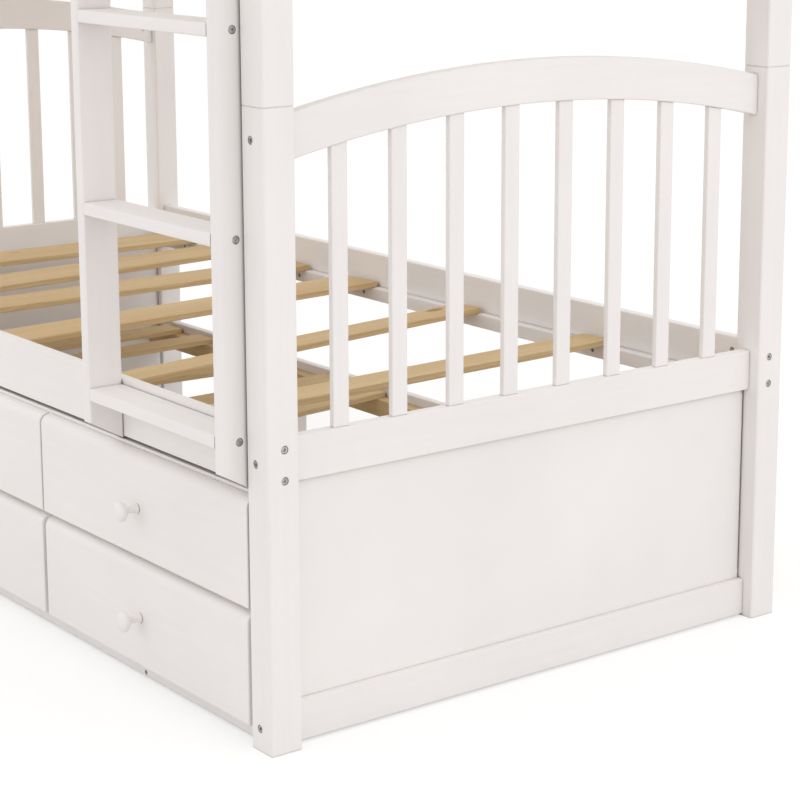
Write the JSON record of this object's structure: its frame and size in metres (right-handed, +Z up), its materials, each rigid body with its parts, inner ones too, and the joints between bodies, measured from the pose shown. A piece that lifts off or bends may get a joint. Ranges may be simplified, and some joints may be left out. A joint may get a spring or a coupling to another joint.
{
  "type": "bunk bed with trundle",
  "caption": "Wooden bunk bed with arched slatted ends, a ladder and guard rails over a rolling trundle bed that holds drawers.",
  "frame": {"origin": "on the floor under the middle of the whole bed's box, ladder included", "axes": "+X along the bed towards the ladder end, -Y towards the front with the drawers and the ladder, +Z up"},
  "size_m": [2.05, 1.107, 1.8275],
  "materials": {
    "white_paint": "satin white paint on solid wood",
    "pine": "bare sanded pine",
    "drawer_board": "pale board",
    "steel": "zinc plated steel",
    "wheel_plastic": "moulded plastic"
  },
  "bodies": {
    "frame": {"lower_post_front_right": "white_paint", "lower_post_front_left": "white_paint", "lower_post_back_right": "white_paint", "lower_post_back_left": "white_paint", "upper_posts_front": "white_paint", "upper_posts_back": "white_paint", "lower_arch_rail_right": "white_paint", "lower_arch_rail_left": "white_paint", "upper_arch_rails": "white_paint", "lower_cross_rail_right": "white_paint", "lower_cross_rail_left": "white_paint", "upper_cross_rails": "white_paint", "end_bottom_rails": "white_paint", "lower_end_slats": "white_paint", "upper_end_slats": "white_paint", "end_panel_right": "white_paint", "end_panel_left": "white_paint", "lower_side_rail_front": "white_paint", "lower_side_rail_back": "white_paint", "upper_side_rail_front": "white_paint", "upper_side_rail_back": "white_paint", "lower_deck_cleats": "white_paint", "upper_deck_cleats": "white_paint", "guard_rail_front": "white_paint", "guard_rail_back": "white_paint", "ladder_stile_right": "white_paint", "ladder_stile_left": "white_paint", "ladder_rungs": "white_paint", "post_dowels": "pine", "lower_deck_slats": "pine", "upper_deck_slats": "pine", "frame_bolts": "steel", "ladder_bolts": "steel", "barrel_nuts": "steel", "deck_screws": "steel", "guard_screws": "steel"},
    "trundle": {"trundle_ends": "white_paint", "trundle_dividers": "white_paint", "trundle_back_rail": "white_paint", "trundle_front_rail": "white_paint", "trundle_bottom_rail": "white_paint", "trundle_cleats": "pine", "trundle_slats": "pine", "trundle_screws": "steel", "drawer_runners": "pine", "trundle_fronts": "white_paint", "trundle_knobs": "white_paint", "caster_forks": "steel", "caster_axles": "steel"},
    "drawer_1": {"drawer_front_1": "white_paint", "drawer_box_1": "drawer_board", "drawer_knob_1": "white_paint"},
    "drawer_2": {"drawer_front_2": "white_paint", "drawer_box_2": "drawer_board", "drawer_knob_2": "white_paint"},
    "drawer_3": {"drawer_front_3": "white_paint", "drawer_box_3": "drawer_board", "drawer_knob_3": "white_paint"},
    "front_casters": {"front_caster_wheels": "wheel_plastic"},
    "back_casters": {"back_caster_wheels": "wheel_plastic"}
  },
  "joints": [
    {"name": "trundle_slide", "type": "slide", "parent": "frame", "child": "trundle", "axis": [0, -1, 0], "range_m": [0, 0.95]},
    {"name": "front_casters_roll", "type": "hinge", "parent": "trundle", "child": "front_casters", "pos_m": [0, -0.4305, 0.02], "axis": [1, 0, 0], "continuous": true},
    {"name": "back_casters_roll", "type": "hinge", "parent": "trundle", "child": "back_casters", "pos_m": [0, 0.4285, 0.02], "axis": [1, 0, 0], "continuous": true},
    {"name": "drawer_1_slide", "type": "slide", "parent": "trundle", "child": "drawer_1", "axis": [0, -1, 0], "range_m": [0, 0.4]},
    {"name": "drawer_2_slide", "type": "slide", "parent": "trundle", "child": "drawer_2", "axis": [0, -1, 0], "range_m": [0, 0.4]},
    {"name": "drawer_3_slide", "type": "slide", "parent": "trundle", "child": "drawer_3", "axis": [0, -1, 0], "range_m": [0, 0.4]}
  ],
  "couplings": [
    {"joint": "front_casters_roll", "follows": "trundle_slide", "rad_per_m": 50},
    {"joint": "back_casters_roll", "follows": "trundle_slide", "rad_per_m": 50}
  ]
}
